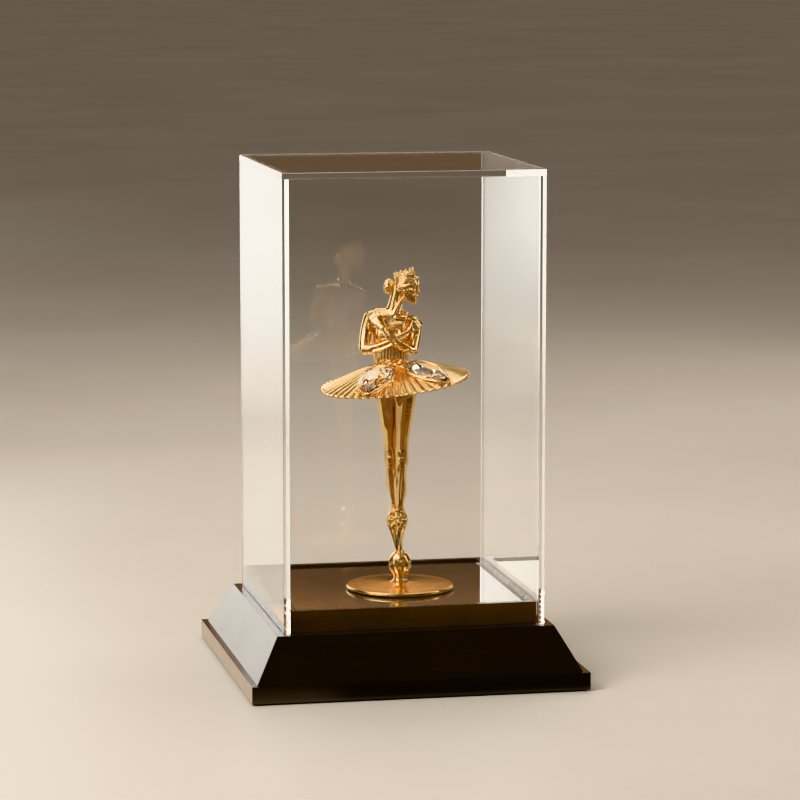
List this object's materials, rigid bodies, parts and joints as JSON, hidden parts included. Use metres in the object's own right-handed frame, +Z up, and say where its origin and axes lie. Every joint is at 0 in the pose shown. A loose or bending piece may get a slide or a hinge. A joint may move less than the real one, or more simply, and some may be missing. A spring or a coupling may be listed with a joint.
{
  "type": "display case",
  "caption": "Bevelled black base with a raised deck, a clear lift-off cover and a gold ballerina figurine standing inside.",
  "frame": {"origin": "centre of the footprint on the surface that the case stands on", "axes": "+Z up, -Y towards the front, +X to the viewer's right"},
  "size_m": [0.1546, 0.1546, 0.2349],
  "materials": {
    "black_lacquer": "satin black lacquer on board, fine brushed grain",
    "black_strip": "polished black acrylic strip",
    "deck_gloss": "polished brown-black acrylic plate",
    "black_felt": "felt",
    "screw_steel": "zinc plated",
    "clear_acrylic": "clear cast acrylic with polished edges",
    "gold_plate": "polished gold plate on a cast alloy",
    "crystal": "cut clear crystal"
  },
  "bodies": {
    "base": {"foot_board": "black_lacquer", "bevelled_plinth": "black_lacquer", "deck_board": "black_lacquer", "deck_rim_front": "black_strip", "deck_rim_back": "black_strip", "deck_rim_left": "black_strip", "deck_rim_right": "black_strip", "deck_plate": "deck_gloss", "base_felt": "black_felt", "plinth_screws": "screw_steel", "deck_screws": "screw_steel"},
    "cover": {"cover_front_pane": "clear_acrylic", "cover_back_pane": "clear_acrylic", "cover_left_pane": "clear_acrylic", "cover_right_pane": "clear_acrylic", "cover_top_pane": "clear_acrylic"},
    "figurine": {"stand_disc": "gold_plate", "disc_felt": "black_felt", "disc_screw": "screw_steel", "ball_stem": "gold_plate", "dancer_legs": "gold_plate", "tutu_skirt": "gold_plate", "waist_pin": "gold_plate", "dancer_upper_body": "gold_plate", "tiara": "gold_plate", "skirt_crystals": "crystal"}
  },
  "joints": [
    {"name": "cover_lift", "type": "slide", "parent": "base", "child": "cover", "axis": [0, 0, 1], "range_m": [0, 0.21]},
    {"name": "figurine_lift", "type": "slide", "parent": "base", "child": "figurine", "axis": [0, 0, 1], "range_m": [0, 0.04]}
  ]
}
